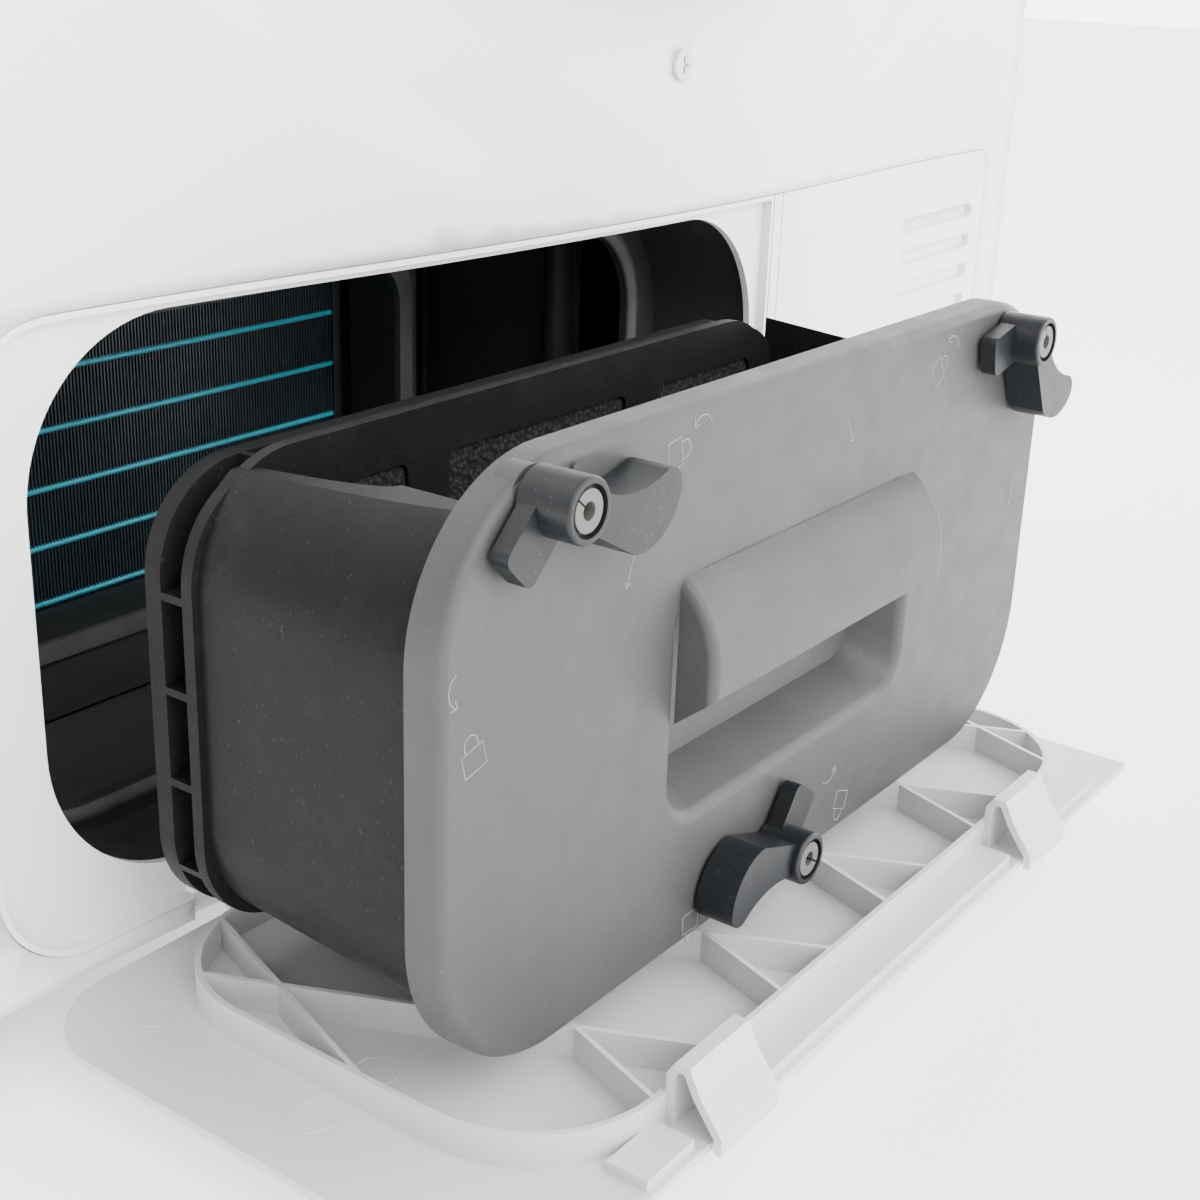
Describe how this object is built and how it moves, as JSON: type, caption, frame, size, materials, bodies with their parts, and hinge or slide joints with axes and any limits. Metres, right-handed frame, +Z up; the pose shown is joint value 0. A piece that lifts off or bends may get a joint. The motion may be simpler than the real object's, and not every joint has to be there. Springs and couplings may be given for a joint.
{
  "type": "heat-pump tumble dryer",
  "caption": "White front-loading tumble dryer with its plinth flap open and a grey scoop-shaped air-filter cartridge with turn latches drawn out; round door, top drawer and controls.",
  "frame": {"origin": "on the floor under the middle of the whole box, open flap included", "axes": "+Z up, -Y out of the machine's front (towards the open flap), +X to the right of someone facing the front"},
  "size_m": [0.595, 0.757, 0.845],
  "materials": {
    "enamel": "satin white enamel",
    "white_plastic": "smooth white plastic",
    "flap_plastic": "moulded white plastic, unpainted inside face",
    "cover_grey": "fine satin mid grey",
    "housing_grey": "satin dark grey",
    "latch_slate": "satin slate grey",
    "post_grey": "satin light grey",
    "black_plastic": "matte black",
    "soft_seal": "matte grey rubber",
    "black_rubber": "matte black rubber",
    "foam": "open-cell foam",
    "coil_fin": "dark blue-black coated fins",
    "bare_fin": "bare fins",
    "copper": "bare copper tube",
    "galvanised": "galvanised sheet",
    "stainless": "brushed stainless sheet",
    "machined": "machined steel",
    "can_black": "black lacquer",
    "motor_alu": "cast",
    "duct_grey": "moulded grey",
    "bowl_glass": "clear bowl",
    "display": "dark glossy window",
    "board_green": "lacquered board",
    "tank_smoke": "translucent grey",
    "screw_zinc": "zinc plated",
    "knob_white": "smooth white with grip grooves"
  },
  "bodies": {
    "cabinet": {"front_panel": "enamel", "plinth_frame": "white_plastic", "louvre_cover": "white_plastic", "side_panel_left": "enamel", "side_panel_right": "enamel", "rear_panel": "galvanised", "worktop": "white_plastic", "base_moulding": "duct_grey", "filter_sleeve": "black_plastic", "evaporator_frame": "black_plastic", "shaft_seal": "soft_seal", "evaporator_fins": "coil_fin", "coil_tubes": "copper", "condenser_fins": "bare_fin", "compressor": "can_black", "refrigerant_lines": "copper", "drum_front_support": "duct_grey", "drum_rear_support": "galvanised", "motor_housing": "motor_alu", "fan_housing": "duct_grey", "drum_belt": "black_rubber", "control_panel": "white_plastic", "display_window": "display", "control_board": "board_green", "mains_inlet": "black_plastic", "panel_screws": "screw_zinc", "condensate_pump": "black_plastic", "door_hinge_plate": "machined"},
    "flap": {"flap_panel": "flap_plastic", "flap_hinge_pins": "machined"},
    "cartridge": {"filter_cover": "cover_grey", "filter_housing": "housing_grey", "filter_seal": "soft_seal", "filter_foam": "foam", "lever_posts": "post_grey"},
    "latch_1": {"lever_1": "latch_slate"},
    "latch_2": {"lever_2": "latch_slate"},
    "latch_3": {"lever_3": "latch_slate"},
    "door": {"door_ring": "white_plastic", "door_window": "bowl_glass", "door_seal": "black_rubber", "door_latch": "machined"},
    "drum": {"drum_shell": "stainless", "drum_lifters": "duct_grey"},
    "rotor": {"motor_shaft": "machined", "drive_pulley": "machined", "fan_wheel": "black_plastic"},
    "roller_left": {"roller_left": "black_rubber"},
    "roller_right": {"roller_right": "black_rubber"},
    "tank": {"water_tank": "tank_smoke", "tank_front": "white_plastic"},
    "lint": {"lint_filter": "housing_grey"},
    "knob": {"program_knob": "knob_white"},
    "start_key": {"start_button": "white_plastic"},
    "option_key_1": {"option_button_1": "white_plastic"},
    "option_key_2": {"option_button_2": "white_plastic"},
    "foot_front_left": {"foot_1": "black_rubber"},
    "foot_front_right": {"foot_2": "black_rubber"},
    "foot_rear_left": {"foot_3": "black_rubber"},
    "foot_rear_right": {"foot_4": "black_rubber"}
  },
  "joints": [
    {"name": "flap_hinge", "type": "hinge", "parent": "cabinet", "child": "flap", "pos_m": [0, -0.2094, 0.0257], "axis": [-1, 0, 0], "range_deg": [0, 1.4]},
    {"name": "cartridge_slide", "type": "slide", "parent": "cabinet", "child": "cartridge", "axis": [0, 0.9972, 0.0747], "range_m": [0, 0.147]},
    {"name": "latch_1_turn", "type": "hinge", "parent": "cartridge", "child": "latch_1", "pos_m": [-0.2134, -0.3323, 0.1692], "axis": [0, -1, 0], "range_deg": [-90, 0]},
    {"name": "latch_2_turn", "type": "hinge", "parent": "cartridge", "child": "latch_2", "pos_m": [0.02, -0.3323, 0.167], "axis": [0, -1, 0], "range_deg": [-95, 0]},
    {"name": "latch_3_turn", "type": "hinge", "parent": "cartridge", "child": "latch_3", "pos_m": [-0.1049, -0.3323, 0.0424], "axis": [0, -1, 0], "range_deg": [-144, 0]},
    {"name": "door_hinge", "type": "hinge", "parent": "cabinet", "child": "door", "pos_m": [0.244, -0.2355, 0.495], "axis": [0, 0, 1], "range_deg": [0, 165]},
    {"name": "drum_spin", "type": "hinge", "parent": "cabinet", "child": "drum", "pos_m": [0, 0.0885, 0.495], "axis": [0, 1, 0], "continuous": true},
    {"name": "motor_spin", "type": "hinge", "parent": "cabinet", "child": "rotor", "pos_m": [0.19, 0.1085, 0.13], "axis": [0, 1, 0], "continuous": true},
    {"name": "roller_left_spin", "type": "hinge", "parent": "cabinet", "child": "roller_left", "pos_m": [-0.15, 0.2995, 0.24412], "axis": [0, 1, 0], "continuous": true},
    {"name": "roller_right_spin", "type": "hinge", "parent": "cabinet", "child": "roller_right", "pos_m": [0.15, 0.2995, 0.24412], "axis": [0, 1, 0], "continuous": true},
    {"name": "tank_slide", "type": "slide", "parent": "cabinet", "child": "tank", "axis": [0, -1, 0], "range_m": [0, 0.3]},
    {"name": "lint_filter_lift", "type": "slide", "parent": "cabinet", "child": "lint", "axis": [0, 0, 1], "range_m": [0, 0.028]},
    {"name": "program_knob_turn", "type": "hinge", "parent": "cabinet", "child": "knob", "pos_m": [0, -0.2315, 0.78], "axis": [0, -1, 0], "continuous": true},
    {"name": "start_press", "type": "slide", "parent": "cabinet", "child": "start_key", "axis": [0, 1, 0], "range_m": [0, 0.002], "stiffness_N_per_m": 600, "springref_m": -0.001},
    {"name": "option_1_press", "type": "slide", "parent": "cabinet", "child": "option_key_1", "axis": [0, 1, 0], "range_m": [0, 0.002], "stiffness_N_per_m": 500, "springref_m": -0.001},
    {"name": "option_2_press", "type": "slide", "parent": "cabinet", "child": "option_key_2", "axis": [0, 1, 0], "range_m": [0, 0.002], "stiffness_N_per_m": 500, "springref_m": -0.001},
    {"name": "foot_front_left_screw", "type": "slide", "parent": "cabinet", "child": "foot_front_left", "axis": [0, 0, 1], "range_m": [-0.012, 0]},
    {"name": "foot_front_right_screw", "type": "slide", "parent": "cabinet", "child": "foot_front_right", "axis": [0, 0, 1], "range_m": [-0.012, 0]},
    {"name": "foot_rear_left_screw", "type": "slide", "parent": "cabinet", "child": "foot_rear_left", "axis": [0, 0, 1], "range_m": [-0.012, 0]},
    {"name": "foot_rear_right_screw", "type": "slide", "parent": "cabinet", "child": "foot_rear_right", "axis": [0, 0, 1], "range_m": [-0.012, 0]}
  ],
  "couplings": [
    {"joint": "motor_spin", "follows": "drum_spin", "ratio": 22.333},
    {"joint": "roller_left_spin", "follows": "drum_spin", "ratio": -11.167},
    {"joint": "roller_right_spin", "follows": "drum_spin", "ratio": -11.167}
  ]
}
